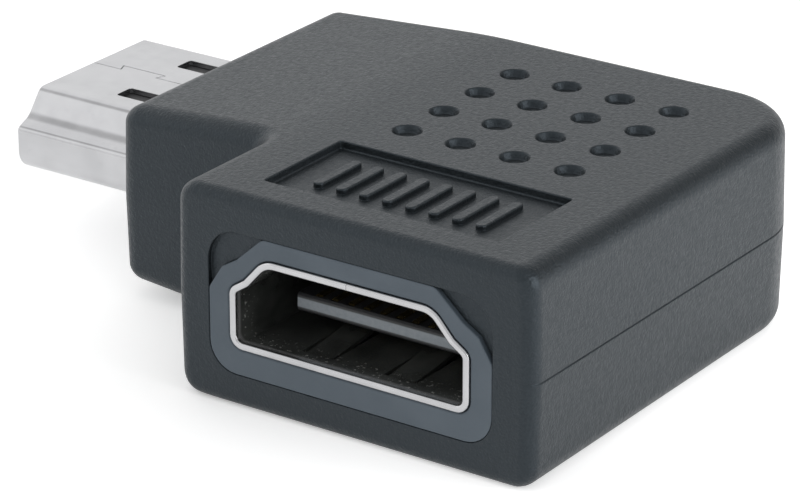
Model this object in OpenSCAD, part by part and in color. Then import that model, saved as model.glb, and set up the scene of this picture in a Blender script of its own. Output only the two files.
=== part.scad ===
// Right-angle adapter for a 19-contact digital video connector.
// A socket faces the front (-Y). A plug of the same family points to the left (-X)
// from a slightly slimmer arm, so the moulded body is an L seen from above.
// All lengths are millimetres. +Z is up, the part stands on the flat under the
// socket block, and the origin is the centre of the bounding box's base.

/* [Moulded body] */
// Width of the socket block, left to right
body_w = 22.15; // [21.9:0.05:23]
// Depth of the socket block, front to back
body_l = 28.3; // [28:0.1:30]
// Height of the socket block
body_h = 11.95; // [11.9:0.05:12.6]
// Length of the arm that carries the plug, beyond the block's left face
arm_len = 10.1; // [9.9:0.05:11]
// Distance from the block's front face back to the arm's front face
arm_setback = 8; // [7.5:0.1:8.6]
// Drop of the arm's top at its end
arm_drop_top = 0.8; // [0.3:0.05:1.0]
// Rise of the arm's underside at its end
arm_rise_bottom = 1; // [0.3:0.05:1.1]
// Radius of the long top and bottom edges
edge_r = 1.15; // [0.9:0.05:1.3]
// Radius of the front face's top and bottom edges
front_edge_r = 0.65; // [0.4:0.05:0.9]
// Radius of the upright edges
upright_r = 0.85; // [0.6:0.05:1]
// Plan radius of the block's back corner away from the plug
back_corner_r = 5; // [2:0.5:6]
// Radius of the concave corner between block and arm
inner_corner_r = 1; // [0.6:0.1:1.5]
// Draft of each side face from the parting line to the top or bottom
draft = 0.12; // [0.05:0.01:0.2]
// Height of the parting line
parting_z = 5.9; // [5.5:0.1:6.4]

/* [Top face] */
// Width of the sunk panel
panel_w = 14.4; // [12:0.1:15]
// Depth of the sunk panel, front to back
panel_l = 6.8; // [6:0.1:7]
// How far the panel is sunk
panel_depth = 0.45; // [0.3:0.05:0.5]
// Number of raised grip ribs in the panel
rib_count = 8; // [6:1:9]
// Width of one grip rib
rib_w = 0.62; // [0.5:0.02:0.7]
// Height of the grip ribs above the panel's floor
rib_h = 0.3; // [0.2:0.05:0.3]
// Number of dimples in a row and number of rows
dimple_n = 4; // [3:1:4]
// Pitch of the dimples from left to right
dimple_pitch_x = 3.38; // [3.2:0.01:3.45]
// Pitch of the dimples from front to back
dimple_pitch_y = 3.45; // [3.3:0.01:3.5]
// Diameter of one dimple
dimple_d = 1.65; // [1.3:0.05:1.8]
// Depth of one dimple
dimple_depth = 0.4; // [0.3:0.05:0.45]

/* [Connectors] */
// Height of both connectors' centre lines above the base
conn_z = 6.05; // [6:0.05:6.2]
// Inside width of the socket's shell
socket_in_w = 14; // [14:0.01:14.05]
// Inside height of the socket's shell
socket_in_h = 4.55; // [4.55:0.01:4.6]
// Outside width of the plug's shell
plug_out_w = 13.9; // [13.85:0.01:13.9]
// Outside height of the plug's shell
plug_out_h = 4.45; // [4.4:0.01:4.45]
// How far the plug's shell stands out of the arm
plug_reach = 10.4; // [10:0.1:11]
// Distance of the plug's centre line behind the block's front face
plug_y = 18.95; // [18.9:0.05:19.1]
// How far the socket's tongue lies behind the mouth
tongue_setback = 2.9; // [2.6:0.05:3]
// Contact pitch within one row
contact_pitch = 1; // [1:0.01:1.01]

/* [Hidden] */

shell_t = 0.4;               // sheet of the socket's shell
plug_t = 0.3;                // sheet of the plug's shell
rim_y = -0.1;                // front edge of the socket's shell
collar_y = 0;                // front face of the collar round the socket
tip_x = -(arm_len + plug_reach);
sock_x = body_w / 2 - 0.1;   // centre of the socket across the block
ox = -(tip_x + body_w) / 2;  // shift to the bounding box's centre
oy = -(rim_y + body_l) / 2;

zt = -0.62;                  // tongue's centre below the shell's centre
tongue_t = 1;                // tongue thickness
tongue_hw = 5.2;             // half the tongue's width
board_t = 0.8;               // circuit board thickness
bz = conn_z + zt;            // height of the board's middle
c_t = 0.15;                  // contact strip thickness
c_w = 0.4;                   // contact strip width
sock_shell_end = 11.6;       // back edge of the socket's shell
sock_base = 9;               // front of the socket insulator's base
sock_rear = 12;              // back of the socket insulator
plug_shell_end = 12.5;       // back edge of the plug's shell, from its tip
plug_nose = 0.6;             // plug insulator's nose behind the tip
plug_slot = 9.5;             // end of the plug's slot, from its tip
plug_rear = 13;              // back of the plug insulator, from its tip
board_x0 = tip_x + plug_rear + 0.1;
board_x1 = 19;
board_y0 = sock_rear + 0.1;
board_y1 = 25.9;
seg = 4;                     // chords on one rounded corner of an outline

// ---- outlines -------------------------------------------------------------
function unit(v) = v / norm(v);
function turn(d) = d > 180 ? d - 360 : d < -180 ? d + 360 : d;
// arc that rounds the corner p1 between p0 and p2
function corner(p0, p1, p2, r) = r <= 0 ? [p1] :
    let(a = unit(p0 - p1), b = unit(p2 - p1), h = acos(a * b) / 2,
        c = p1 + unit(a + b) * r / sin(h), s = p1 + a * r / tan(h) - c,
        e = p1 + b * r / tan(h) - c, a0 = atan2(s[1], s[0]),
        d = turn(atan2(e[1], e[0]) - a0))
    [for (i = [0:seg]) c + r * [cos(a0 + d * i / seg), sin(a0 + d * i / seg)]];
function rounded(p, r) = let(n = len(p))
    [for (i = [0:n - 1]) each corner(p[(i + n - 1) % n], p[i], p[(i + 1) % n], r[i])];
// outline moved outwards by d; points run anticlockwise
function side_n(a, b) = let(u = unit(b - a)) [u[1], -u[0]];
function grown(p, d) = let(n = len(p))
    [for (i = [0:n - 1]) let(n1 = side_n(p[(i + n - 1) % n], p[i]),
        n2 = side_n(p[i], p[(i + 1) % n])) p[i] + (n1 + n2) * d / (1 + n1 * n2)];
function both(h) = concat(h, [for (i = [len(h) - 1:-1:0]) [-h[i][0], h[i][1]]]);
function twice(r) = concat(r, [for (i = [len(r) - 1:-1:0]) r[i]]);
// radii of an outline grown by d: the third corner is hollow, the others are not
function radii(r, d) = twice([r[0] + d, r[1] + d, r[2] - d, r[3] + d]);

// inside face of the socket's shell; the narrow side is up
sw = socket_in_w / 2;
sh = socket_in_h / 2;
sock_in = both([[sw, -sh], [sw, 0.45], [6.2, 0.98], [5.05, sh]]);
sock_r = [0.4, 0.3, 0.8, 1.1];
module sock_outline(d) { polygon(rounded(grown(sock_in, d), radii(sock_r, d))); }

// outside face of the plug's shell
pw = plug_out_w / 2;
ph = plug_out_h / 2;
plug_out = both([[pw, -ph], [pw, 0.38], [5.95, 0.81], [4.85, ph]]);
plug_r = [1.15, 0.35, 1.4, 0.6];
module plug_outline(d) { polygon(rounded(grown(plug_out, d), radii(plug_r, d))); }

// outline of the collar round the socket
module collar_outline() {
    polygon(rounded(both([[8.72, -4.15], [8.72, 0.4], [7.9, 1.7], [6.95, 2.28], [5.3, 3.78]]),
        twice([1.65, 0.5, 0.4, 0.4, 0.7])));
}
// outline of the shallow recess in the moulded body round the collar
module recess_outline() {
    polygon(rounded([[8.77, -4.2], [8.77, 3.83], [-8.77, 3.83], [-8.77, -4.2]],
        [1.7, 1.9, 1.9, 1.7]));
}

// ---- placing --------------------------------------------------------------
// extrude an outline of the X-Z plane from y0 to y1
module along_y(y0, y1) {
    translate([0, y1, 0]) rotate([90, 0, 0]) linear_extrude(height = y1 - y0) children();
}
// extrude an outline of the Y-Z plane from x0 to x1
module along_x(x0, x1) {
    translate([x0, 0, 0]) rotate([90, 0, 90]) linear_extrude(height = x1 - x0) children();
}
module place() { translate([ox, oy, 0]) children(); }
// socket frame: mouth centre at the origin, depth along +Y
module at_socket() { place() translate([sock_x, 0, conn_z]) children(); }
// plug frame: tip centre at the origin, depth along +Y before the turn
module at_plug() { place() translate([tip_x, plug_y, conn_z]) rotate([0, 0, -90]) children(); }
module block(x0, x1, y0, y1, z0, z1) {
    translate([x0, y0, z0]) cube([x1 - x0, y1 - y0, z1 - z0]);
}

// ---- moulded body ---------------------------------------------------------
// The body is a stack of rings from the base to the top. Every ring is the L of the
// plan view, drawn in by the edge rounding and by the draft of the side faces.
fold_x = edge_r + draft;     // the arm's slopes start on this line
// how far an edge of radius r draws in at distance d from the flat
function drawn_in(d, r) = d >= r ? 0 : r - sqrt(r * r - (r - d) * (r - d));
heights = concat([for (a = [0:15:90]) edge_r * (1 - cos(a))], [parting_z],
    [for (a = [90:-15:0]) body_h - edge_r * (1 - cos(a))]);
function drafted(z) = draft * abs(z - parting_z) / (body_h / 2);
// arc of n chords round the corner p1; same as corner() but with its own count
function bend(p0, p1, p2, r, n) =
    let(a = unit(p0 - p1), b = unit(p2 - p1), c = p1 + (a + b) * r,
        s = -b * r, a0 = atan2(s[1], s[0]), e = -a * r, d = turn(atan2(e[1], e[0]) - a0))
    [for (i = [0:n]) c + r * [cos(a0 + d * i / n), sin(a0 + d * i / n)]];
// the ring at height z: front left, front right, back right, fold, arm's end, inner corner
function ring(z) = let(q = min(z, body_h - z), t = drafted(z),
        e = drawn_in(q, edge_r) + t, f = drawn_in(q, front_edge_r), u = upright_r,
        x0 = e, x1 = body_w - e, xa = e - arm_len, y0 = f, ya = arm_setback + e, y1 = body_l - e,
        c = max(u - f, 0.3), k = max(u + 0.3 - e, 0.3))
    concat(bend([x0, ya], [x0, y0], [x1, y0], c, 4),
        bend([x0, y0], [x1, y0], [x1, y1], c, 4),
        bend([x1, y0], [x1, y1], [x0, y1], back_corner_r - e, 8),
        [[fold_x, y1]],
        bend([x1, y1], [xa, y1], [xa, ya], k, 4),
        bend([xa, y1], [xa, ya], [x0, ya], k, 4),
        bend([xa, ya], [x0, ya], [x0, y0], inner_corner_r + e, 5));
// heights on the arm close up towards its end
function lifted(p, z) = let(k = max(0, fold_x - p[0]) / (fold_x + arm_len),
        lo = arm_rise_bottom * k, hi = body_h - arm_drop_top * k)
    [p[0], p[1], lo + (hi - lo) * z / body_h];
module body_solid() {
    m = len(ring(0));
    l = len(heights);
    pts = [for (z = heights) each [for (p = ring(z)) lifted(p, z)]];
    fold = 19;               // place of the fold point in a ring
    blk = concat([for (i = [0:fold]) i], [m - 1]);
    arm = [for (i = [fold:m - 1]) i];
    sides = [for (j = [0:l - 2], i = [0:m - 1], h = [0, 1]) let(n = (i + 1) % m)
        h == 0 ? [j * m + i, j * m + n, (j + 1) * m + n] : [j * m + i, (j + 1) * m + n, (j + 1) * m + i]];
    top = (l - 1) * m;
    polyhedron(pts, concat([for (f = sides) [f[0], f[2], f[1]]],
        [blk, arm, [for (i = [len(blk) - 1:-1:0]) top + blk[i]],
            [for (i = [len(arm) - 1:-1:0]) top + arm[i]]]), convexity = 6);
}
module panel_cut() {
    x0 = body_w / 2 + 0.2 - panel_w / 2;
    block(x0, x0 + panel_w, 2.4, 2.4 + panel_l, body_h - panel_depth, body_h + 1);
}
module dimples() {
    n = dimple_n - 1;
    for (i = [0:n], j = [0:n])
        translate([body_w / 2 + 0.1 + (i - n / 2) * dimple_pitch_x,
            17.57 + (j - n / 2) * dimple_pitch_y, body_h - dimple_depth])
            cylinder(h = dimple_depth + 0.5, r1 = dimple_d / 2 - 0.14,
                r2 = dimple_d / 2 + 0.07 / dimple_depth, $fn = 32);
}
// straight ribs with round ends, set across the panel
module grip_ribs() {
    cx = body_w / 2 + 0.2;
    cy = 2.4 + panel_l / 2;
    step = (panel_w - 3) / rib_count;
    for (i = [0:rib_count - 1])
        translate([cx + (i - (rib_count - 1) / 2) * step, cy, body_h - panel_depth - 0.1]) {
            translate([-rib_w / 2, -1.6, 0]) cube([rib_w, 3.2, rib_h + 0.1]);
            for (s = [-1.6, 1.6])
                translate([0, s, 0]) cylinder(d = rib_w, h = rib_h + 0.1, $fn = 24);
        }
}
// inside form of the moulded body, which is also the outside of the inner mould
module core() {
    translate([sock_x, 0, conn_z]) along_y(0.3, 2.5) collar_outline();
    block(2, body_w - 2, 2.4, body_l - 1.7, 1.9, body_h - 1.9);
    block(-arm_len + 1.9, 3, arm_setback + 2, body_l - 1.7, 2.6, body_h - 2.6);
}
module outer_body() {
    color([0.13, 0.14, 0.145]) place() {
        difference() {
            body_solid();
            core();
            translate([sock_x, 0, conn_z]) along_y(-1, 0.3) recess_outline();
            translate([tip_x, plug_y, conn_z]) rotate([0, 0, -90])
                along_y(plug_reach - 2, plug_reach + 2.5) plug_outline(0.03);
            panel_cut();
            dimples();
        }
        grip_ribs();
    }
}

// ---- inner mould ----------------------------------------------------------
module inner_mould() {
    color([0.30, 0.33, 0.36]) place() difference() {
        union() {
            core();
            translate([sock_x, 0, conn_z]) along_y(collar_y, 1) collar_outline();
        }
        translate([sock_x, 0, conn_z]) along_y(-1, sock_rear + 0.2) sock_outline(shell_t + 0.03);
        translate([tip_x, plug_y, conn_z]) rotate([0, 0, -90])
            along_y(5, plug_rear + 0.3) plug_outline(0.03);
        block(board_x0 - 0.4, board_x1 + 0.3, board_y0 - 0.2, board_y1 + 0.2, bz - 1.2, bz + 1.2);
    }
}

// ---- socket ---------------------------------------------------------------
// sprung leaf cut from a flat wall: fixed at the front, bowed inwards, free at the back
module leaf(cx, wall_z, up) {
    t = 0.28;
    s = up ? 1 : -1;
    path = [[0.9, 0], [1.6, 0], [5.2, -0.38], [5.7, -0.38], [6.9, 0.02]];
    translate([0, 0, wall_z]) along_x(cx - 0.8, cx + 0.8)
        polygon(concat([for (p = path) [p[0], s * p[1]]],
            [for (i = [len(path) - 1:-1:0]) [path[i][0], s * (path[i][1] + t)]]));
}
module leaf_window(cx, up) {
    z = up ? sh : -sh - shell_t;
    block(cx - 1, cx + 1, 1, 7.1, z - 0.1, z + shell_t + 0.1);
}
module socket_shell() {
    color([0.80, 0.81, 0.83]) at_socket() {
        difference() {
            along_y(rim_y, sock_shell_end) difference() {
                sock_outline(shell_t);
                sock_outline(0);
            }
            for (x = [-2.55, 2.55]) leaf_window(x, false);
            for (x = [-2.78, 2.78]) leaf_window(x, true);
            block(-0.04, 0.04, rim_y - 1, sock_shell_end + 1, sh - 0.1, sh + shell_t + 0.1);
        }
        for (x = [-2.55, 2.55]) leaf(x, -sh - 0.03, false);
        for (x = [-2.78, 2.78]) leaf(x, sh + 0.03, true);
        for (s = [-1, 1]) translate([s * (sw + shell_t / 2), 0, zt])
            block(-shell_t / 2, shell_t / 2, sock_shell_end - 0.5, 14, -0.9, 0.9);
    }
}
// x places of the contacts of one row
function row(n) = [for (i = [0:n - 1]) (i - (n - 1) / 2) * contact_pitch];
module socket_contact(x, up, g) {
    z0 = board_t / 2;
    s = up ? 1 : -1;
    translate([x, 0, zt]) along_x(-c_w / 2 - g, c_w / 2 + g)
        polygon([[3.05 - g, s * z0], [13.6, s * z0], [13.6, s * (z0 + c_t + g)],
            [3.25 - g, s * (z0 + c_t + g)], [3.05 - g, s * (z0 + 0.06)]]);
}
module socket_contacts_upper() {
    color([0.83, 0.68, 0.36]) at_socket() for (x = row(9)) socket_contact(x, true, 0);
}
module socket_contacts_lower() {
    color([0.83, 0.68, 0.36]) at_socket() for (x = row(10)) socket_contact(x, false, 0);
}
module socket_insulator() {
    h = tongue_t / 2;
    c = 0.12;
    color([0.45, 0.48, 0.50]) at_socket() difference() {
        union() {
            translate([0, 0, zt]) along_x(-tongue_hw, tongue_hw)
                polygon([[tongue_setback, -h + c], [tongue_setback + c, -h], [sock_base + 1, -h],
                    [sock_base + 1, h], [tongue_setback + c, h], [tongue_setback, h - c]]);
            along_y(sock_base, sock_rear) sock_outline(-0.03);
        }
        for (x = row(9)) socket_contact(x, true, 0.02);
        for (x = row(10)) socket_contact(x, false, 0.02);
    }
}

// ---- plug -----------------------------------------------------------------
// closed seam of the folded sheet, with a dovetail key
module seam() {
    g = 0.035;
    z = ph - plug_t - 0.1;
    translate([0, 0, z]) linear_extrude(height = plug_t + 0.2) {
        polygon([[-g, -1], [g, -1], [g, 2.1], [-g, 2.1]]);
        polygon([[-g, 4.6], [g, 4.6], [g, 20], [-g, 20]]);
        polygon([[-g, 2.03], [g, 2.1], [-0.55, 1.85], [-0.55 - g, 1.8]]);
        polygon([[-0.55 - g, 1.8], [-0.55, 1.85], [-0.55, 4.85], [-0.55 - g, 4.9]]);
        polygon([[-0.55 - g, 4.9], [-0.55, 4.82], [g, 4.6], [-g, 4.67]]);
    }
}
module latch_holes() {
    for (s = [-1, 1]) translate([s * 2.78, 5.6, 0]) linear_extrude(height = 4)
        polygon(rounded([[0.68, -1.15], [0.68, 1.15], [-0.68, 1.15], [-0.68, -1.15]],
            [0.2, 0.2, 0.2, 0.2]));
}
module plug_shell() {
    color([0.74, 0.75, 0.77]) at_plug() {
        difference() {
            along_y(0, plug_shell_end) difference() {
                plug_outline(0);
                plug_outline(-plug_t);
            }
            seam();
            latch_holes();
        }
        // legs: narrow along the shell's straight sides, wider at the board
        for (s = [-1, 1]) translate([s * (pw - plug_t / 2), 0, zt]) {
            block(-plug_t / 2, plug_t / 2, plug_shell_end - 0.5, 14.9, -0.44, 0.7);
            block(-plug_t / 2, plug_t / 2, plug_rear + 0.4, 14.9, -0.9, 0.9);
        }
    }
}
// sprung contact strip: rounded nose in the slot, straight back, step down to the board
module plug_contact(x, up, g) {
    s = up ? 1 : -1;
    a = 0.78;
    b = board_t / 2;
    path = [[1.15, a], [1.5, a], [2.2, 0.5], [2.7, 0.5], [4.2, a], [10, a], [11, b], [14.6, b]];
    translate([x, 0, zt]) along_x(-c_w / 2 - g, c_w / 2 + g)
        polygon(concat([for (p = path) [p[0], s * (p[1] - g)]],
            [for (i = [len(path) - 1:-1:0]) [path[i][0], s * (path[i][1] + c_t + g)]]));
}
module plug_contacts_upper() {
    color([0.83, 0.68, 0.36]) at_plug() for (x = row(9)) plug_contact(x, true, 0);
}
module plug_contacts_lower() {
    color([0.83, 0.68, 0.36]) at_plug() for (x = row(10)) plug_contact(x, false, 0);
}
// channel that a strip lies in
module channel(x, up) {
    s = up ? 1 : -1;
    translate([x, 0, zt]) along_x(-c_w / 2 - 0.02, c_w / 2 + 0.02)
        polygon([[1.0, s * 0.7], [plug_slot, s * 0.7], [plug_slot, s * 0.98], [1.0, s * 0.98]]);
}
module plug_insulator() {
    h = 0.74;
    color([0.10, 0.10, 0.11]) at_plug() difference() {
        along_y(plug_nose, plug_rear) plug_outline(-plug_t - 0.03);
        translate([0, 0, zt]) along_x(-5.35, 5.35)
            polygon([[plug_nose - 1, -h - 0.2], [plug_nose, -h - 0.2], [plug_nose + 0.25, -h],
                [plug_slot, -h], [plug_slot, h], [plug_nose + 0.25, h], [plug_nose, h + 0.2],
                [plug_nose - 1, h + 0.2]]);
        for (x = row(9)) { plug_contact(x, true, 0.02); channel(x, true); }
        for (x = row(10)) { plug_contact(x, false, 0.02); channel(x, false); }
    }
}

// ---- board and solder -----------------------------------------------------
module circuit_board() {
    color([0.07, 0.30, 0.16]) place() difference() {
        block(board_x0, board_x1, board_y0, board_y1, bz - board_t / 2, bz + board_t / 2);
        // slots for the legs of the socket's shell
        for (s = [-1, 1]) translate([sock_x + s * (sw + shell_t / 2), 0, 0])
            block(-shell_t / 2 - 0.1, shell_t / 2 + 0.1, board_y0 - 1, 14.2, 0, 12);
        // corner notches for the legs of the plug's shell
        for (s = [-1, 1]) translate([0, plug_y + s * (pw - plug_t / 2 + 0.2), 0])
            block(board_x0 - 1, tip_x + 15.1, -0.45, 0.45, 0, 12);
    }
}
// bead of solder over the end of a strip, between y0 and y1
module bead(x, y0, y1, up) {
    s = up ? 1 : -1;
    z0 = board_t / 2;
    translate([x, 0, zt]) along_y(y0, y1)
        polygon([[-0.34, s * z0], [0.34, s * z0], [0.24, s * (z0 + 0.26)], [-0.24, s * (z0 + 0.26)]]);
}
module socket_solder(n, up) {
    color([0.70, 0.71, 0.72]) at_socket() difference() {
        for (x = row(n)) bead(x, 12.7, 13.9, up);
        for (x = row(n)) socket_contact(x, up, 0);
    }
}
module plug_solder(n, up) {
    color([0.70, 0.71, 0.72]) at_plug() difference() {
        for (x = row(n)) bead(x, 13.7, 14.9, up);
        for (x = row(n)) plug_contact(x, up, 0);
    }
}
module socket_solder_upper() { socket_solder(9, true); }
module socket_solder_lower() { socket_solder(10, false); }
module plug_solder_upper() { plug_solder(9, true); }
module plug_solder_lower() { plug_solder(10, false); }
// wedge between a leg's inner face and the board
module wedge(x, sx, y0, y1, up) {
    s = up ? 1 : -1;
    z0 = board_t / 2;
    translate([x, 0, zt]) along_y(y0, y1)
        polygon([[0, s * z0], [-sx * 0.7, s * z0], [-sx * 0.1, s * (z0 + 0.42)], [0, s * (z0 + 0.42)]]);
}
module shell_solder() {
    color([0.70, 0.71, 0.72]) {
        at_socket() for (s = [-1, 1], up = [true, false]) wedge(s * sw, s, 12.5, 13.8, up);
        at_plug() for (s = [-1, 1], up = [true, false]) wedge(s * (pw - plug_t), s, 13.3, 14.6, up);
    }
}

outer_body();
inner_mould();
socket_shell();
socket_insulator();
socket_contacts_upper();
socket_contacts_lower();
plug_shell();
plug_insulator();
plug_contacts_upper();
plug_contacts_lower();
circuit_board();
socket_solder_upper();
socket_solder_lower();
plug_solder_upper();
plug_solder_lower();
shell_solder();
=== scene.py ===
import math

import bpy
import bmesh
from mathutils import Matrix, Vector


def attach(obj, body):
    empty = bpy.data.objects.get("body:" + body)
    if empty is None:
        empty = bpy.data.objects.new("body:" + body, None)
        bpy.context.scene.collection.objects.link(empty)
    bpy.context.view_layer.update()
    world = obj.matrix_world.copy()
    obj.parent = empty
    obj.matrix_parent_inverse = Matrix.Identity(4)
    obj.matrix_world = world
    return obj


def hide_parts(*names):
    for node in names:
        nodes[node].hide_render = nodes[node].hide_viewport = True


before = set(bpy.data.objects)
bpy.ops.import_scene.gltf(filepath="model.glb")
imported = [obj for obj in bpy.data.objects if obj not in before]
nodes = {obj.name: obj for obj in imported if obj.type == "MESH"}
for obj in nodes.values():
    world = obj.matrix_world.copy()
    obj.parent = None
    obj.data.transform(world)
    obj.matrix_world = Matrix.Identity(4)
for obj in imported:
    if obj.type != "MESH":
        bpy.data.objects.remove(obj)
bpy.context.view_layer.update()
scene = bpy.context.scene

# ---------------------------------------------------------------------------
# Sizes, in millimetres. x runs from the block's left face, y from its front
# face, z from the base. They are the CAD part's own numbers.
BODY_W, BODY_L, BODY_H = 22.15, 28.3, 11.95
ARM_LEN, ARM_SET = 10.1, 8.0
DROP_TOP, RISE_BOTTOM = 0.8, 1.0
EDGE_R, FRONT_R, UPRIGHT_R, BACK_R, INNER_R = 1.15, 0.65, 0.85, 5.0, 1.0
DRAFT, PART_Z = 0.12, 5.9
PANEL_W, PANEL_L, PANEL_D = 14.4, 6.8, 0.45
RIBS, RIB_W, RIB_H = 8, 0.62, 0.3
DIM_N, DIM_X, DIM_Y, DIM_D, DIM_DEPTH = 4, 3.38, 3.45, 1.65, 0.4
CONN_Z = 6.05
SHELL_T, PLUG_T = 0.4, 0.3
RIM_Y = -0.1
REACH = 10.4
PLUG_Y = 18.95
TONGUE_SET = 2.9
SW, SH = 7.0, 2.275
PW, PH = 6.95, 2.225
ZT = -0.62
SOCK_X = BODY_W / 2 - 0.1
TIP_X = -(ARM_LEN + REACH)
OX = -(TIP_X + BODY_W) / 2
OY = -(RIM_Y + BODY_L) / 2
FOLD_X = EDGE_R + DRAFT
BOARD_X0, BOARD_X1, BOARD_Y0, BOARD_Y1 = TIP_X + 13.1, 19.0, 12.1, 25.9
BZ = CONN_Z + ZT

TO_ROW = Matrix.Scale(0.001, 4) @ Matrix.Translation((OX, OY, 0))


# ---------------------------------------------------------------------------
# Outlines
def unit2(v):
    n = math.hypot(v[0], v[1])
    return (v[0] / n, v[1] / n)


def fillet(p0, p1, p2, r, n):
    """Arc of n chords that rounds the corner p1."""
    a = unit2((p0[0] - p1[0], p0[1] - p1[1]))
    b = unit2((p2[0] - p1[0], p2[1] - p1[1]))
    h = math.acos(max(-1, min(1, a[0] * b[0] + a[1] * b[1]))) / 2
    m = unit2((a[0] + b[0], a[1] + b[1]))
    c = (p1[0] + m[0] * r / math.sin(h), p1[1] + m[1] * r / math.sin(h))
    s = (p1[0] + a[0] * r / math.tan(h) - c[0], p1[1] + a[1] * r / math.tan(h) - c[1])
    e = (p1[0] + b[0] * r / math.tan(h) - c[0], p1[1] + b[1] * r / math.tan(h) - c[1])
    a0 = math.atan2(s[1], s[0])
    d = math.atan2(e[1], e[0]) - a0
    d = d - 2 * math.pi if d > math.pi else d + 2 * math.pi if d < -math.pi else d
    return [(c[0] + r * math.cos(a0 + d * i / n), c[1] + r * math.sin(a0 + d * i / n)) for i in range(n + 1)]


def rounded(p, r, n=8):
    m = len(p)
    out = []
    for i in range(m):
        out += fillet(p[i - 1], p[i], p[(i + 1) % m], max(r[i], 0.005), n)
    return out


def grown(p, d):
    """Outline moved outwards by d; the points run anticlockwise."""
    m = len(p)
    out = []
    for i in range(m):
        u = unit2((p[i][0] - p[i - 1][0], p[i][1] - p[i - 1][1]))
        v = unit2((p[(i + 1) % m][0] - p[i][0], p[(i + 1) % m][1] - p[i][1]))
        n1, n2 = (u[1], -u[0]), (v[1], -v[0])
        k = d / (1 + n1[0] * n2[0] + n1[1] * n2[1])
        out.append((p[i][0] + (n1[0] + n2[0]) * k, p[i][1] + (n1[1] + n2[1]) * k))
    return out


def both(h):
    return list(h) + [(-x, y) for x, y in reversed(h)]


def twice(r):
    return list(r) + list(reversed(r))


SOCK = both([(SW, -SH), (SW, 0.45), (6.2, 0.98), (5.05, SH)])
SOCK_R = [0.4, 0.3, 0.8, 1.1]
PLUG = both([(PW, -PH), (PW, 0.38), (5.95, 0.81), (4.85, PH)])
PLUG_R = [1.15, 0.35, 1.4, 0.6]
COLLAR = both([(8.72, -4.15), (8.72, 0.4), (7.9, 1.7), (6.95, 2.28), (5.3, 3.78)])
COLLAR_R = [1.65, 0.5, 0.4, 0.4, 0.7]
RECESS = [(8.77, -4.2), (8.77, 3.83), (-8.77, 3.83), (-8.77, -4.2)]
RECESS_R = [1.7, 1.9, 1.9, 1.7]


def sock_outline(d, n=8):
    r = [SOCK_R[0] + d, SOCK_R[1] + d, SOCK_R[2] - d, SOCK_R[3] + d]
    return rounded(grown(SOCK, d), twice(r), n)


def plug_outline(d, n=8):
    r = [PLUG_R[0] + d, PLUG_R[1] + d, PLUG_R[2] - d, PLUG_R[3] + d]
    return rounded(grown(PLUG, d), twice(r), n)


def collar_outline(d, n=8):
    r = [COLLAR_R[0] + d, COLLAR_R[1] + d, COLLAR_R[2] + d, COLLAR_R[3] - d, COLLAR_R[4] + d]
    return rounded(grown(COLLAR, d), twice(r), n)


def recess_outline(d, n=10):
    return rounded(grown(RECESS, d), [x + d for x in RECESS_R], n)


# ---------------------------------------------------------------------------
# Meshes
def new_object(name, verts, faces):
    me = bpy.data.meshes.new(name)
    me.from_pydata([tuple(v) for v in verts], [], faces)
    me.update()
    ob = bpy.data.objects.new(name, me)
    scene.collection.objects.link(ob)
    bm = bmesh.new()
    bm.from_mesh(me)
    bmesh.ops.recalc_face_normals(bm, faces=bm.faces)
    bm.to_mesh(me)
    bm.free()
    return ob


def loft(name, rings, ring_closed=False):
    """Closed solid through rings of equal count; with ring_closed the last ring joins the first."""
    m = len(rings[0])
    verts = [p for r in rings for p in r]
    faces = []
    k = len(rings)
    for j in range(k if ring_closed else k - 1):
        a, b = j * m, ((j + 1) % k) * m
        for i in range(m):
            n = (i + 1) % m
            faces.append((a + i, a + n, b + n, b + i))
    if not ring_closed:
        faces.append(tuple(range(m)))
        faces.append(tuple(range((k - 1) * m, k * m)))
    return new_object(name, verts, faces)


def boxed(name, lo, hi):
    x0, y0, z0 = lo
    x1, y1, z1 = hi
    v = [(x0, y0, z0), (x1, y0, z0), (x1, y1, z0), (x0, y1, z0), (x0, y0, z1), (x1, y0, z1), (x1, y1, z1), (x0, y1, z1)]
    f = [(0, 3, 2, 1), (4, 5, 6, 7), (0, 1, 5, 4), (1, 2, 6, 5), (2, 3, 7, 6), (3, 0, 4, 7)]
    return new_object(name, v, f)


def at_y(points, y, cx=0.0, cz=0.0):
    """Outline of the X-Z plane at depth y."""
    return [(cx + p[0], y, cz + p[1]) for p in points]


def sock_at(points, y):
    return at_y(points, y, SOCK_X, CONN_Z)


def plug_at(points, d):
    """Outline of the plug, d behind its tip. The outline's own x runs to -Y."""
    return [(TIP_X + d, PLUG_Y - p[0], CONN_Z + p[1]) for p in points]


def boolean(ob, cutter, op="DIFFERENCE"):
    mod = ob.modifiers.new("cut", "BOOLEAN")
    mod.operation = op
    mod.object = cutter
    mod.solver = "EXACT"
    dg = bpy.context.evaluated_depsgraph_get()
    me = bpy.data.meshes.new_from_object(ob.evaluated_get(dg))
    ob.modifiers.clear()
    old = ob.data
    ob.data = me
    bpy.data.meshes.remove(old)
    old = cutter.data
    bpy.data.objects.remove(cutter)
    bpy.data.meshes.remove(old)
    return ob


def joined(name, parts):
    bm = bmesh.new()
    for p in parts:
        bm.from_mesh(p.data)
    me = bpy.data.meshes.new(name)
    bm.to_mesh(me)
    bm.free()
    for p in parts:
        old = p.data
        bpy.data.objects.remove(p)
        bpy.data.meshes.remove(old)
    ob = bpy.data.objects.new(name, me)
    scene.collection.objects.link(ob)
    return ob


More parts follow.
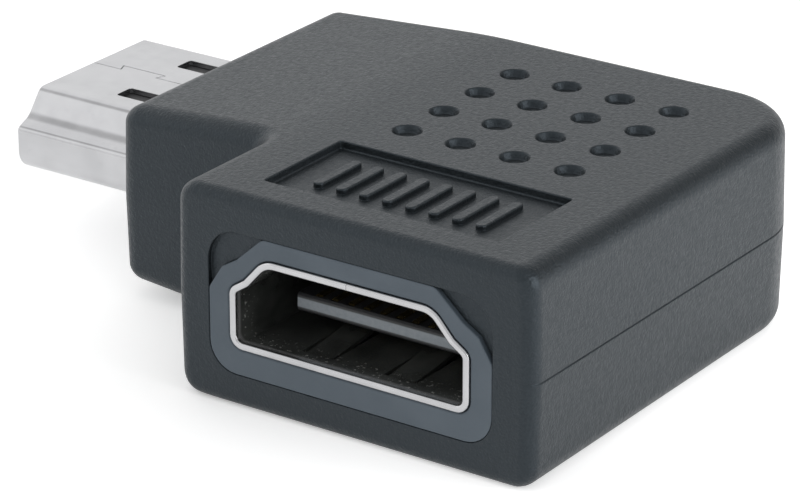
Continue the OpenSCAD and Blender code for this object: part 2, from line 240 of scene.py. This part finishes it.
def dress(ob, name, material, node, sharp=38.0, weight=50):
    """Normals, material and place of a finished piece."""
    bm = bmesh.new()
    bm.from_mesh(ob.data)
    bmesh.ops.remove_doubles(bm, verts=bm.verts, dist=2e-4)
    bmesh.ops.dissolve_degenerate(bm, edges=bm.edges, dist=1e-4)
    loose = [v for v in bm.verts if not v.link_faces]
    bmesh.ops.delete(bm, geom=loose, context="VERTS")
    for f in bm.faces:
        f.smooth = True
    for e in bm.edges:
        e.smooth = not (len(e.link_faces) == 2 and e.calc_face_angle(0) > math.radians(sharp))
    bm.to_mesh(ob.data)
    bm.free()
    mod = ob.modifiers.new("n", "WEIGHTED_NORMAL")
    mod.mode = "FACE_AREA"
    mod.weight = weight
    mod.keep_sharp = True
    dg = bpy.context.evaluated_depsgraph_get()
    me = bpy.data.meshes.new_from_object(ob.evaluated_get(dg))
    ob.modifiers.clear()
    old = ob.data
    ob.data = me
    bpy.data.meshes.remove(old)
    me.transform(TO_ROW)
    me.materials.clear()
    me.materials.append(material)
    me.name = name
    ob.name = name
    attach(ob, "root")
    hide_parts(node)
    return ob


# ---------------------------------------------------------------------------
# Materials
class Graph:
    """Small helper for building a node material."""

    def __init__(self, name):
        self.mat = bpy.data.materials.new(name)
        self.mat.use_nodes = True
        self.t = self.mat.node_tree
        self.t.nodes.clear()
        self.out = self.t.nodes.new("ShaderNodeOutputMaterial")
        self.p = self.t.nodes.new("ShaderNodeBsdfPrincipled")
        self.t.links.new(self.p.outputs[0], self.out.inputs[0])
        self.coord = self.t.nodes.new("ShaderNodeTexCoord").outputs["Object"]

    def put(self, socket, value):
        if isinstance(value, bpy.types.NodeSocket):
            self.t.links.new(value, socket)
        else:
            socket.default_value = value

    def noise(self, scale, detail=2.0, rough=0.5, stretch=None, offset=0.0):
        v = self.coord
        if stretch is not None:
            m = self.t.nodes.new("ShaderNodeMapping")
            m.inputs["Scale"].default_value = stretch
            m.inputs["Location"].default_value = (offset, offset, offset)
            self.t.links.new(v, m.inputs["Vector"])
            v = m.outputs[0]
        n = self.t.nodes.new("ShaderNodeTexNoise")
        n.inputs["Scale"].default_value = scale
        n.inputs["Detail"].default_value = detail
        n.inputs["Roughness"].default_value = rough
        self.t.links.new(v, n.inputs["Vector"])
        return n.outputs["Fac"]

    def voronoi(self, scale, feature="F1"):
        n = self.t.nodes.new("ShaderNodeTexVoronoi")
        n.feature = feature
        n.inputs["Scale"].default_value = scale
        self.t.links.new(self.coord, n.inputs["Vector"])
        return n.outputs["Distance"]

    def ramp(self, value, lo, hi, a=0.0, b=1.0):
        n = self.t.nodes.new("ShaderNodeMapRange")
        self.t.links.new(value, n.inputs["Value"])
        n.inputs["From Min"].default_value = lo
        n.inputs["From Max"].default_value = hi
        n.inputs["To Min"].default_value = a
        n.inputs["To Max"].default_value = b
        return n.outputs[0]

    def mix(self, fac, a, b):
        n = self.t.nodes.new("ShaderNodeMix")
        n.data_type = "RGBA"
        self.put(n.inputs[0], fac)
        self.put(n.inputs[6], a if isinstance(a, bpy.types.NodeSocket) else (*a, 1.0))
        self.put(n.inputs[7], b if isinstance(b, bpy.types.NodeSocket) else (*b, 1.0))
        return n.outputs[2]

    def math(self, op, a, b=0.0, clamp=False):
        n = self.t.nodes.new("ShaderNodeMath")
        n.operation = op
        n.use_clamp = clamp
        self.put(n.inputs[0], a)
        self.put(n.inputs[1], b)
        return n.outputs[0]

    def axis(self, i):
        n = self.t.nodes.new("ShaderNodeSeparateXYZ")
        self.t.links.new(self.coord, n.inputs[0])
        return n.outputs[i]

    def bump(self, height, distance, strength=1.0, normal=None):
        n = self.t.nodes.new("ShaderNodeBump")
        n.inputs["Strength"].default_value = strength
        n.inputs["Distance"].default_value = distance
        self.t.links.new(height, n.inputs["Height"])
        if normal is not None:
            self.t.links.new(normal, n.inputs["Normal"])
        return n.outputs[0]

    def round_edges(self, radius):
        n = self.t.nodes.new("ShaderNodeBevel")
        n.samples = 6
        n.inputs["Radius"].default_value = radius
        return n.outputs[0]

    def set(self, **kw):
        for k, v in kw.items():
            s = self.p.inputs[k.replace("_", " ")]
            if isinstance(v, tuple) and len(v) == 3:
                v = (*v, 1.0)
            self.put(s, v)
        return self.mat


def moulded_black():
    g = Graph("moulded_black")
    coarse = g.noise(3600, 2.0, 0.6)
    fine = g.noise(9500, 2.0, 0.6)
    pits = g.voronoi(6800)
    h = g.math("ADD", g.math("MULTIPLY", coarse, 1.0), g.math("MULTIPLY", fine, 0.8))
    h = g.math("ADD", h, g.math("MULTIPLY", pits, 0.4))
    cloud = g.noise(180, 2.0, 0.5)
    speck = g.ramp(fine, 0.38, 0.66)
    col = g.mix(speck, (0.0040, 0.0052, 0.0058), (0.0100, 0.0122, 0.0132))
    col = g.mix(g.ramp(cloud, 0.3, 0.7, 0.0, 0.25), col, (0.009, 0.0108, 0.0118))
    rough = g.ramp(coarse, 0.3, 0.7, 0.36, 0.50)
    return g.set(Base_Color=col, Roughness=rough, IOR=1.5, Specular_Tint=(0.73, 0.87, 1.0),
                 Normal=g.bump(h, 0.00003, 1.0, g.round_edges(0.00006)))


def moulded_grey():
    g = Graph("moulded_grey")
    fine = g.noise(5200, 3.0, 0.6)
    cloud = g.noise(300, 2.0, 0.5)
    col = g.mix(g.ramp(cloud, 0.3, 0.7), (0.056, 0.073, 0.090), (0.070, 0.089, 0.108))
    rough = g.ramp(fine, 0.3, 0.7, 0.46, 0.58)
    return g.set(Base_Color=col, Roughness=rough, IOR=1.42,
                 Normal=g.bump(fine, 0.000006, 0.8, g.round_edges(0.00008)))


def plated(name="plated_sheet", deep=None):
    g = Graph(name)
    grain = g.noise(900, 3.0, 0.6, stretch=(1.0, 9.0, 9.0))
    cloud = g.noise(420, 3.0, 0.55)
    spots = g.ramp(g.noise(1500, 4.0, 0.7, stretch=(1, 1, 1), offset=3.0), 0.60, 0.72)
    col = g.mix(g.ramp(cloud, 0.3, 0.7), (0.465, 0.467, 0.479), (0.535, 0.537, 0.549))
    col = g.mix(g.math("MULTIPLY", spots, 0.25), col, (0.40, 0.40, 0.41))
    rough = g.ramp(cloud, 0.3, 0.7, 0.17, 0.27)
    if deep is not None:
        # Painted shade: from depth deep inwards the sleeve's inside is painted near black and made less metallic, in
        # place of the shade inside the socket.
        painted_shade_col = g.mix(g.ramp(cloud, 0.35, 0.7), (0.030, 0.032, 0.030), (0.070, 0.074, 0.070))
        # Painted glints: light flecks scattered in the painted shade, thickest in its first 0.4 mm and fading out by 2
        # mm.
        painted_glints = g.ramp(g.noise(5200, 2.0, 0.6), 0.62, 0.70)
        painted_glints = g.math("MULTIPLY", painted_glints, g.ramp(g.axis(1), deep + 0.0020, deep + 0.0004))
        painted_shade_col = g.mix(painted_glints, painted_shade_col, (0.42, 0.42, 0.40))
        inner = g.ramp(g.axis(1), deep, deep + 0.0004)
        col = g.mix(inner, col, painted_shade_col)
        metal = g.ramp(g.axis(1), deep, deep + 0.0004, 1.0, 0.35)
        g.put(g.p.inputs["Metallic"], metal)
    else:
        g.put(g.p.inputs["Metallic"], 1.0)
    return g.set(Base_Color=col, Roughness=rough,
                 Normal=g.bump(grain, 0.000004, 0.6, g.round_edges(0.00005)))


def insulator_grey():
    g = Graph("insulator_grey")
    fine = g.noise(4200, 3.0, 0.6)
    nose = g.mix(g.ramp(fine, 0.3, 0.7), (0.20, 0.225, 0.245), (0.25, 0.275, 0.295))
    # Painted shade: the grey shows only on the tongue's front nose, within 0.1-0.22 mm of its front and 0.23-0.29 mm of
    # its mid-height; elsewhere it is painted near black, in place of the shade on its top and chamfers.
    tongue_shade_col = g.mix(g.ramp(fine, 0.3, 0.7), (0.020, 0.021, 0.023), (0.030, 0.031, 0.033))
    y0 = (OY + TONGUE_SET) / 1000
    zc = (CONN_Z + ZT) / 1000
    strip_shade_mask = g.ramp(g.math("ABSOLUTE", g.math("SUBTRACT", g.axis(2), zc)), 0.00023, 0.00029)
    col = g.mix(g.math("MAXIMUM", g.ramp(g.axis(1), y0 + 0.00010, y0 + 0.00022), strip_shade_mask), nose, tongue_shade_col)
    return g.set(Base_Color=col, Roughness=g.ramp(fine, 0.3, 0.7, 0.40, 0.52), IOR=1.5,
                 Normal=g.bump(fine, 0.000005, 0.7, g.round_edges(0.00006)))


def insulator_black():
    g = Graph("insulator_black")
    fine = g.noise(4200, 3.0, 0.6)
    col = g.mix(g.ramp(fine, 0.3, 0.7), (0.010, 0.010, 0.011), (0.018, 0.018, 0.019))
    return g.set(Base_Color=col, Roughness=g.ramp(fine, 0.3, 0.7, 0.40, 0.55), IOR=1.5,
                 Normal=g.bump(fine, 0.000005, 0.7, g.round_edges(0.00004)))


def gold():
    g = Graph("gold_plate")
    fine = g.noise(3200, 3.0, 0.6)
    col = g.mix(g.ramp(fine, 0.3, 0.7), (0.78, 0.56, 0.22), (0.86, 0.66, 0.30))
    return g.set(Base_Color=col, Metallic=1.0, Roughness=g.ramp(fine, 0.3, 0.7, 0.16, 0.28),
                 Normal=g.bump(fine, 0.000003, 0.6))


def laminate():
    g = Graph("board_laminate")
    weave = g.noise(1800, 2.0, 0.5, stretch=(4.0, 1.0, 1.0))
    col = g.mix(g.ramp(weave, 0.35, 0.65), (0.012, 0.085, 0.040), (0.020, 0.120, 0.058))
    return g.set(Base_Color=col, Roughness=g.ramp(weave, 0.3, 0.7, 0.28, 0.40), IOR=1.5,
                 Normal=g.bump(weave, 0.000006, 0.6))


def solder():
    g = Graph("solder_tin")
    fine = g.noise(2600, 3.0, 0.6)
    col = g.mix(g.ramp(fine, 0.3, 0.7), (0.52, 0.53, 0.55), (0.66, 0.67, 0.68))
    return g.set(Base_Color=col, Metallic=1.0, Roughness=g.ramp(fine, 0.3, 0.7, 0.22, 0.40),
                 Normal=g.bump(fine, 0.00001, 0.8, g.round_edges(0.00006)))


FLOOR_GLOW = 0.27
# Strengths of the painted pools of light on the floor, beside the right face and under the arm.
SIDE_GLOW = 0.30
LEFT_GLOW = 0.14


def floor_white():
    """White floor with an even glow, and painted pools of light beside the block's right face and under the arm."""
    g = Graph("studio_floor")
    n = g.noise(6.0, 2.0, 0.5)
    col = g.mix(g.ramp(n, 0.3, 0.7), (0.90, 0.90, 0.90), (0.92, 0.92, 0.92))
    far = g.t.nodes.new("ShaderNodeVectorMath")
    far.operation = "DISTANCE"
    g.t.links.new(g.coord, far.inputs[0])
    far.inputs[1].default_value = (0.034, 0.012, 0.0)
    # Painted pool of light on the floor beside the block's right face.
    glow = g.ramp(far.outputs["Value"], 0.018, 0.042, SIDE_GLOW, 0.0)
    # Painted pool of light under the arm, which washes out the contact shadow there.
    near = g.t.nodes.new("ShaderNodeVectorMath")
    near.operation = "DISTANCE"
    g.t.links.new(g.coord, near.inputs[0])
    near.inputs[1].default_value = (-0.018, -0.002, 0.0)
    glow = g.math("ADD", glow, g.ramp(near.outputs["Value"], 0.006, 0.020, LEFT_GLOW, 0.0))
    glow = g.math("ADD", glow, FLOOR_GLOW)
    return g.set(Base_Color=col, Roughness=0.9, Emission_Color=(1.0, 1.0, 1.0), Emission_Strength=glow)


BLACK = moulded_black()
GREY = moulded_grey()
STEEL = plated()
# The sleeve material paints shade inside the socket from 0.15 mm behind the rim.
SLEEVE = plated("plated_sleeve", (OY + RIM_Y + 0.15) / 1000)
INS_GREY = insulator_grey()
INS_BLACK = insulator_black()
GOLD = gold()
BOARD = laminate()
SOLDER = solder()


# ---------------------------------------------------------------------------
# Moulded body
def drawn_in(d, r):
    return 0.0 if d >= r else r - math.sqrt(max(0.0, r * r - (r - d) ** 2))


def ring(z, groove=0.0):
    """The L of the plan view at height z."""
    q = min(z, BODY_H - z)
    t = DRAFT * abs(z - PART_Z) / (BODY_H / 2)
    e0 = drawn_in(q, EDGE_R) + t
    e = e0 + groove
    f = drawn_in(q, FRONT_R)
    x0, x1, xa = e0, BODY_W - e, e - ARM_LEN
    y0, ya, y1 = f, ARM_SET + e0, BODY_L - e
    c = max(UPRIGHT_R - f, 0.3)
    k = max(UPRIGHT_R + 0.3 - e, 0.3)
    out = fillet((x0, ya), (x0, y0), (x1, y0), c, 8)
    out += fillet((x0, y0), (x1, y0), (x1, y1), c, 8)
    out += fillet((x1, y0), (x1, y1), (x0, y1), BACK_R - e, 20)
    out += fillet((x1, y1), (xa, y1), (xa, ya), k, 8)
    out += fillet((xa, y1), (xa, ya), (x0, ya), k, 8)
    out += fillet((xa, ya), (x0, ya), (x0, y0), INNER_R + e, 10)
    return [(p[0], p[1], z) for p in out]


def arm_share(x):
    """0 on the block, 1 at the arm's end, with a soft start at the fold."""
    t, b = FOLD_X - x, 1.6
    s = 0.0 if t <= -b else (t + b) ** 2 / (4 * b) if t < b else t
    return s / (FOLD_X + ARM_LEN)


def core_parts():
    w = loft("core_w", [sock_at(collar_outline(0.008), 0.2), sock_at(collar_outline(0.008), 2.5)])
    a = boxed("core_a", (2, 2.4, 1.9), (BODY_W - 2, BODY_L - 1.7, BODY_H - 1.9))
    b = boxed("core_b", (-ARM_LEN + 1.9, ARM_SET + 2, 2.6), (3, BODY_L - 1.7, BODY_H - 2.6))
    return w, a, b


def dimple_cutter(cx, cy):
    """Shallow round dimple: flat floor, small floor radius, steep wall, turned lip."""
    r, w, fr = DIM_D / 2, 0.14, 0.10
    prof = [((r - w - fr) * k, -DIM_DEPTH) for k in (0.45, 0.8, 1.0)]
    steep = math.atan2(DIM_DEPTH, w)
    for i in range(1, 6):
        t = steep * i / 5
        prof.append((r - w - fr + fr * math.sin(t), -DIM_DEPTH + fr * (1 - math.cos(t))))
    x0, z0 = prof[-1]
    x1, z1 = r - 0.03, -0.09
    prof.append((x1, z1))
    for i in range(1, 6):
        t = i / 5
        x = (1 - t) ** 2 * x1 + 2 * t * (1 - t) * (r + 0.0) + t * t * (r + 0.10)
        z = (1 - t) ** 2 * z1 + 2 * t * (1 - t) * (-0.002) + t * t * 0.010
        prof.append((x, z))
    prof.append((r + 0.16, 0.3))
    n = 40
    verts = [(cx, cy, BODY_H - DIM_DEPTH)]
    for x, z in prof:
        verts += [(cx + x * math.cos(2 * math.pi * i / n), cy + x * math.sin(2 * math.pi * i / n), BODY_H + z)
                  for i in range(n)]
    faces = [(0, 1 + (i + 1) % n, 1 + i) for i in range(n)]
    for j in range(len(prof) - 1):
        a, b = 1 + j * n, 1 + (j + 1) * n
        faces += [(a + i, a + (i + 1) % n, b + (i + 1) % n, b + i) for i in range(n)]
    faces.append(tuple(range(1 + (len(prof) - 1) * n, 1 + len(prof) * n)))
    return new_object("dimple", verts, faces)


def rect(x0, y0, x1, y1, r, n=4):
    return rounded([(x0, y0), (x1, y0), (x1, y1), (x0, y1)], [r] * 4, n)


def panel_cutter():
    """Sunk panel: a small radius at the floor, a turned lip at the top."""
    cx, cy = BODY_W / 2 + 0.2, 2.4 + PANEL_L / 2
    x0, x1, y0, y1 = cx - PANEL_W / 2, cx + PANEL_W / 2, 2.4, 2.4 + PANEL_L
    rings = []
    fr, lr = 0.10, 0.07
    for a in (0, 22.5, 45, 67.5, 90):
        s, c = math.sin(math.radians(a)), math.cos(math.radians(a))
        g = -fr * (1 - s)
        rings.append((g, BODY_H - PANEL_D + fr * (1 - c)))
    for a in (0, 20, 40, 60, 76):
        s, c = math.sin(math.radians(a)), math.cos(math.radians(a))
        rings.append((lr * (1 - c), BODY_H - lr + lr * s))
    rings.append((lr * 0.9, BODY_H + 0.5))
    return loft("panel", [[(p[0], p[1], z) for p in rect(x0 - g, y0 - g, x1 + g, y1 + g, 0.16 + g)] for g, z in rings])


def rib(i):
    """One grip rib with round ends and a turned top edge."""
    cx, cy = BODY_W / 2 + 0.2, 2.4 + PANEL_L / 2
    step = (PANEL_W - 3) / RIBS
    cx += (i - (RIBS - 1) / 2) * step
    a0 = 0.0
    rings = []
    for g, z in [(0, -0.1)] + [(-0.1 * (1 - math.cos(math.radians(a))), RIB_H - 0.1 + 0.1 * math.sin(math.radians(a)))
                               for a in (0, 22.5, 45, 67.5, 90)]:
        w = RIB_W / 2 + g
        pts = []
        for k in range(13):
            a = math.pi * k / 12
            pts.append((w * math.cos(a), 1.6 + w * math.sin(a)))
        for k in range(13):
            a = math.pi + math.pi * k / 12
            pts.append((w * math.cos(a), -1.6 + w * math.sin(a)))
        rings.append([(cx + x * math.cos(a0) - y * math.sin(a0), cy + x * math.sin(a0) + y * math.cos(a0),
                       BODY_H - PANEL_D + z) for x, y in pts])
    return loft("rib", rings)


def make_body():
    z = [EDGE_R * (1 - math.cos(math.radians(a))) for a in [7.5 * i for i in range(13)]]
    levels = [(v, 0.0) for v in z] + [(PART_Z - 0.09, 0.0), (PART_Z - 0.03, 0.06), (PART_Z + 0.03, 0.06), (PART_Z + 0.05, 0.0)]
    levels += [(BODY_H - v, 0.0) for v in reversed(z)]
    ob = loft("outer", [ring(v, g) for v, g in levels])
    bm = bmesh.new()
    bm.from_mesh(ob.data)
    x = -ARM_LEN + 0.7
    while x < 3.3:
        bmesh.ops.bisect_plane(bm, geom=bm.verts[:] + bm.edges[:] + bm.faces[:], plane_co=(x, 0, 0), plane_no=(1, 0, 0))
        x += 0.4
    for v in bm.verts:
        k = arm_share(v.co.x)
        lo, hi = RISE_BOTTOM * k, BODY_H - DROP_TOP * k
        v.co.z = lo + (hi - lo) * v.co.z / BODY_H
    bm.to_mesh(ob.data)
    bm.free()
    for p in core_parts():
        boolean(ob, p)
    lr, fr = 0.05, 0.03
    rings = []
    for a in (0, 30, 60, 90):
        rings.append((-fr * (1 - math.sin(math.radians(a))), 0.3 - fr * (1 - math.cos(math.radians(a)))))
    for a in (0, 20, 40, 60, 78):
        rings.append((lr * (1 - math.cos(math.radians(a))), lr - lr * math.sin(math.radians(a))))
    rings.append((lr * 0.9, -1.0))
    boolean(ob, loft("recess", [sock_at(recess_outline(g - 0.03), y) for g, y in rings]))
    boolean(ob, loft("ph", [plug_at(plug_outline(0.03), d) for d in (REACH - 2, REACH + 2.5)]))
    boolean(ob, panel_cutter())
    n = DIM_N - 1
    boolean(ob, joined("dimples", [dimple_cutter(BODY_W / 2 + 0.1 + (i - n / 2) * DIM_X, 17.57 + (j - n / 2) * DIM_Y)
                                   for i in range(DIM_N) for j in range(DIM_N)]))
    boolean(ob, joined("ribs", [rib(i) for i in range(RIBS)]), "UNION")
    return dress(ob, "body_shell", BLACK, "outer_body")


def make_mould():
    cut, a, b = core_parts()
    old = cut.data
    bpy.data.objects.remove(cut)
    bpy.data.meshes.remove(old)
    r = 0.07
    rings = [(0.0, 2.5)] + [(-r * (1 - math.cos(math.radians(t))), r - r * math.sin(math.radians(t)))
                            for t in (0, 18, 36, 54, 72, 90)]
    w = loft("collar", [sock_at(collar_outline(g), y) for g, y in rings])
    boolean(w, a, "UNION")
    boolean(w, b, "UNION")
    lr = 0.12
    rings = [(0.0, 12.2)] + [(lr * (1 - math.cos(math.radians(t))), lr - lr * math.sin(math.radians(t)))
                             for t in (0, 20, 40, 60, 78)] + [(lr * 0.9, -1.0)]
    boolean(w, loft("hole", [sock_at(sock_outline(SHELL_T + 0.03 + g), y) for g, y in rings]))
    boolean(w, loft("ph", [plug_at(plug_outline(0.03), d) for d in (5, 13.3)]))
    boolean(w, boxed("bc", (BOARD_X0 - 0.4, BOARD_Y0 - 0.2, BZ - 1.2), (BOARD_X1 + 0.3, BOARD_Y1 + 0.2, BZ + 1.2)))
    return dress(w, "inner_collar", GREY, "inner_mould")


# ---------------------------------------------------------------------------
# Socket
def strip(name, x0, x1, path, t, up, cx=SOCK_X, place=None):
    """Bent strip: path is (depth, height) of its inner face, t its thickness outwards."""
    s = 1 if up else -1
    a = [(y, s * z) for y, z in path]
    b = [(y, s * (z + t)) for y, z in reversed(path)]
    prof = a + b
    rings = [[(cx + x, y, z) for y, z in prof] for x in (x0, x1)]
    if place is not None:
        rings = [[place(p) for p in r] for r in rings]
    return loft(name, rings)


def leaf_path(up):
    """Bowed spring leaf, fixed at the front."""
    key = [(0.9, 0.0), (1.6, 0.0), (3.2, -0.15), (4.6, -0.34), (5.3, -0.385), (5.9, -0.34), (6.9, 0.02)]
    out = []
    for i in range(len(key) - 1):
        p0, p1, p2, p3 = key[max(i - 1, 0)], key[i], key[i + 1], key[min(i + 2, len(key) - 1)]
        for j in range(6):
            t = j / 6
            out.append(tuple(0.5 * (2 * p1[k] + (p2[k] - p0[k]) * t + (2 * p0[k] - 5 * p1[k] + 4 * p2[k] - p3[k]) * t ** 2
                                    + (3 * p1[k] - p0[k] - 3 * p2[k] + p3[k]) * t ** 3) for k in (0, 1)))
    out.append(key[-1])
    return [(y, z) for y, z in out]


def make_socket_shell():
    end = 11.6
    r = 0.13
    rings = [(SHELL_T, end)]
    for a in (0, 15, 30, 45, 60, 75, 90):
        s, c = math.sin(math.radians(a)), math.cos(math.radians(a))
        rings.append((SHELL_T - r * (1 - c), RIM_Y + r * (1 - s)))
    for a in (90, 75, 60, 45, 30, 15, 0):
        s, c = math.sin(math.radians(a)), math.cos(math.radians(a))
        rings.append((r * (1 - c), RIM_Y + r * (1 - s)))
    rings.append((0.0, end))
    ob = loft("shell", [sock_at(sock_outline(g), y) for g, y in rings], ring_closed=True)
    cuts = []
    for x in (-2.55, 2.55):
        cuts.append(boxed("w", (SOCK_X + x - 1, 1, CONN_Z - SH - SHELL_T - 0.1), (SOCK_X + x + 1, 7.1, CONN_Z - SH + 0.1)))
    for x in (-2.78, 2.78):
        cuts.append(boxed("w", (SOCK_X + x - 1, 1, CONN_Z + SH - 0.1), (SOCK_X + x + 1, 7.1, CONN_Z + SH + SHELL_T + 0.1)))
    cuts.append(boxed("w", (SOCK_X - 0.012, RIM_Y - 1, CONN_Z + SH - 0.1), (SOCK_X + 0.012, end + 1, CONN_Z + SH + SHELL_T + 0.1)))
    boolean(ob, joined("cuts", cuts))
    adds = []
    for x in (-2.55, 2.55):
        adds.append(strip("l", x - 0.8, x + 0.8, [(y, SH + 0.03 + z) for y, z in leaf_path(False)], 0.28, False,
                          place=lambda p: (p[0], p[1], p[2] + CONN_Z)))
    for x in (-2.78, 2.78):
        adds.append(strip("l", x - 0.8, x + 0.8, [(y, SH + 0.03 + z) for y, z in leaf_path(True)], 0.28, True,
                          place=lambda p: (p[0], p[1], p[2] + CONN_Z)))
    for s in (-1, 1):
        c = SOCK_X + s * (SW + SHELL_T / 2)
        adds.append(boxed("t", (c - SHELL_T / 2, end - 0.5, CONN_Z + ZT - 0.9), (c + SHELL_T / 2, 14, CONN_Z + ZT + 0.9)))
    boolean(ob, joined("adds", adds), "UNION")
    return dress(ob, "socket_sleeve", SLEEVE, "socket_shell")


# ---------------------------------------------------------------------------
# Plug
def make_plug_shell():
    end = 12.5
    r = 0.11
    rings = [(0.0, end)]
    for a in (0, 15, 30, 45, 60, 75, 90):
        s, c = math.sin(math.radians(a)), math.cos(math.radians(a))
        rings.append((-r * (1 - c), r * (1 - s)))
    for a in (90, 75, 60, 45, 30, 15, 0):
        s, c = math.sin(math.radians(a)), math.cos(math.radians(a))
        rings.append((-PLUG_T + r * (1 - c), r * (1 - s)))
    rings.append((-PLUG_T, end))
    ob = loft("plug", [plug_at(plug_outline(g), d) for g, d in rings], ring_closed=True)
    cuts = []

    def prism(points, z0, z1):
        return loft("p", [[(TIP_X + d, PLUG_Y - x, CONN_Z + z) for x, d in points] for z in (z0, z1)])

    z0, z1 = PH - PLUG_T - 0.1, PH + 0.1
    g = 0.03
    line = [(0, -1), (0, 2.07), (-0.55, 1.83), (-0.55, 4.87), (0, 4.63), (0, 20)]
    left, right = [], []
    for i, p in enumerate(line):
        a = line[max(i - 1, 0)]
        b = line[min(i + 1, len(line) - 1)]
        u = unit2((p[0] - a[0], p[1] - a[1])) if p != a else None
        v = unit2((b[0] - p[0], b[1] - p[1])) if p != b else None
        u, v = u or v, v or u
        n1, n2 = (u[1], -u[0]), (v[1], -v[0])
        k = g / (1 + n1[0] * n2[0] + n1[1] * n2[1])
        d = ((n1[0] + n2[0]) * k, (n1[1] + n2[1]) * k)
        left.append((p[0] + d[0], p[1] + d[1]))
        right.append((p[0] - d[0], p[1] - d[1]))
    cuts.append(prism(left + right[::-1], z0, z1))
    for s in (-1, 1):
        hole = rounded([(s * 2.78 + a, 5.6 + b) for a, b in ((0.68, -1.15), (0.68, 1.15), (-0.68, 1.15), (-0.68, -1.15))],
                       [0.2] * 4, 6)
        cuts.append(prism(hole, z0, z1 + 1))
    boolean(ob, joined("cuts", cuts))
    adds = []
    for s in (-1, 1):
        c = PLUG_Y - s * (PW - PLUG_T / 2)
        adds.append(boxed("t", (TIP_X + end - 0.5, c - PLUG_T / 2, CONN_Z + ZT - 0.44), (TIP_X + 13.45, c + PLUG_T / 2, CONN_Z + ZT + 0.7)))
        adds.append(boxed("f", (TIP_X + 13.4, c - PLUG_T / 2, CONN_Z + ZT - 0.9), (TIP_X + 14.9, c + PLUG_T / 2, CONN_Z + ZT + 0.9)))
    boolean(ob, joined("adds", adds), "UNION")
    return dress(ob, "plug_sleeve", STEEL, "plug_shell")


make_body()
make_mould()
make_socket_shell()
make_plug_shell()

for name, material in {
    "socket_insulator": INS_GREY, "plug_insulator": INS_BLACK,
    "socket_contacts_upper": GOLD, "socket_contacts_lower": GOLD,
    "plug_contacts_upper": GOLD, "plug_contacts_lower": GOLD,
    "circuit_board": BOARD, "shell_solder": SOLDER,
    "socket_solder_upper": SOLDER, "socket_solder_lower": SOLDER,
    "plug_solder_upper": SOLDER, "plug_solder_lower": SOLDER,
    "outer_body": BLACK, "inner_mould": GREY, "socket_shell": STEEL, "plug_shell": STEEL,
}.items():
    nodes[name].data.materials.clear()
    nodes[name].data.materials.append(material)

# ---------------------------------------------------------------------------
# Studio
bpy.ops.mesh.primitive_plane_add(size=3.0, location=(0, 0, 0))
floor = bpy.context.active_object
floor.name = "studio_floor"
floor.data.materials.append(floor_white())


def softbox(name, at, aim, size, power, tint=(1, 1, 1), size_y=None):
    li = bpy.data.lights.new(name, "AREA")
    li.energy = power
    li.color = tint
    li.size = size
    if size_y is not None:
        li.shape = "RECTANGLE"
        li.size_y = size_y
    ob = bpy.data.objects.new(name, li)
    scene.collection.objects.link(ob)
    ob.location = at
    ob.rotation_euler = (Vector(aim) - Vector(at)).to_track_quat("-Z", "Y").to_euler()
    return ob


# soft sky: an even base and a few broad glows, each given as direction, strength, inner and outer cosine
BASE = 0.80
GLOWS = [
    ((-0.525, 0.758, 0.387), 0.22, 0.95, 0.60),
    ((-0.525, -0.504, 0.684), 0.32, 0.95, 0.60),
    ((-1.0, 0.0, 0.20), 0.40, 0.95, 0.50),
    ((-0.525, -0.16, 0.837), -0.62, 0.99, 0.935),
    ((0.387, 0.758, 0.525), -0.55, 0.97, 0.85),
]

world = bpy.data.worlds.new("studio")
scene.world = world
world.use_nodes = True
wt = world.node_tree
bg = wt.nodes["Background"]
bg.inputs["Color"].default_value = (1, 1, 1, 1)
direction = wt.nodes.new("ShaderNodeTexCoord").outputs["Generated"]
total = None
for d, strength, inner, outer in GLOWS:
    dot = wt.nodes.new("ShaderNodeVectorMath")
    dot.operation = "DOT_PRODUCT"
    wt.links.new(direction, dot.inputs[0])
    dot.inputs[1].default_value = Vector(d).normalized()
    mr = wt.nodes.new("ShaderNodeMapRange")
    mr.interpolation_type = "SMOOTHSTEP"
    wt.links.new(dot.outputs["Value"], mr.inputs["Value"])
    mr.inputs["From Min"].default_value = outer
    mr.inputs["From Max"].default_value = inner
    mr.inputs["To Min"].default_value = 0.0
    mr.inputs["To Max"].default_value = strength
    add = wt.nodes.new("ShaderNodeMath")
    add.operation = "ADD"
    add.inputs[1].default_value = BASE
    wt.links.new(mr.outputs[0], add.inputs[0])
    if total is not None:
        wt.links.new(total, add.inputs[1])
    total = add.outputs[0]
wt.links.new(total, bg.inputs["Strength"])

softbox("right_box", (0.45, 0.05, 0.12), (0, 0, 0.005), 0.30, 1.2)

cam = bpy.data.cameras.new("camera")
camera = bpy.data.objects.new("camera", cam)
scene.collection.objects.link(camera)
cam.sensor_width = 36.0
cam.lens = 180.0
cam.clip_start = 0.01
cam.clip_end = 20.0
camera.location = ((117.9 + OX) / 1000, (-149.7 + OY) / 1000, 87.8 / 1000)
camera.rotation_euler = (math.radians(90 - 22.78), math.radians(0.02), math.radians(34.70))
scene.camera = camera

scene.view_settings.view_transform = "Standard"
scene.view_settings.look = "None"
scene.view_settings.exposure = 0.0
scene.view_settings.gamma = 1.0
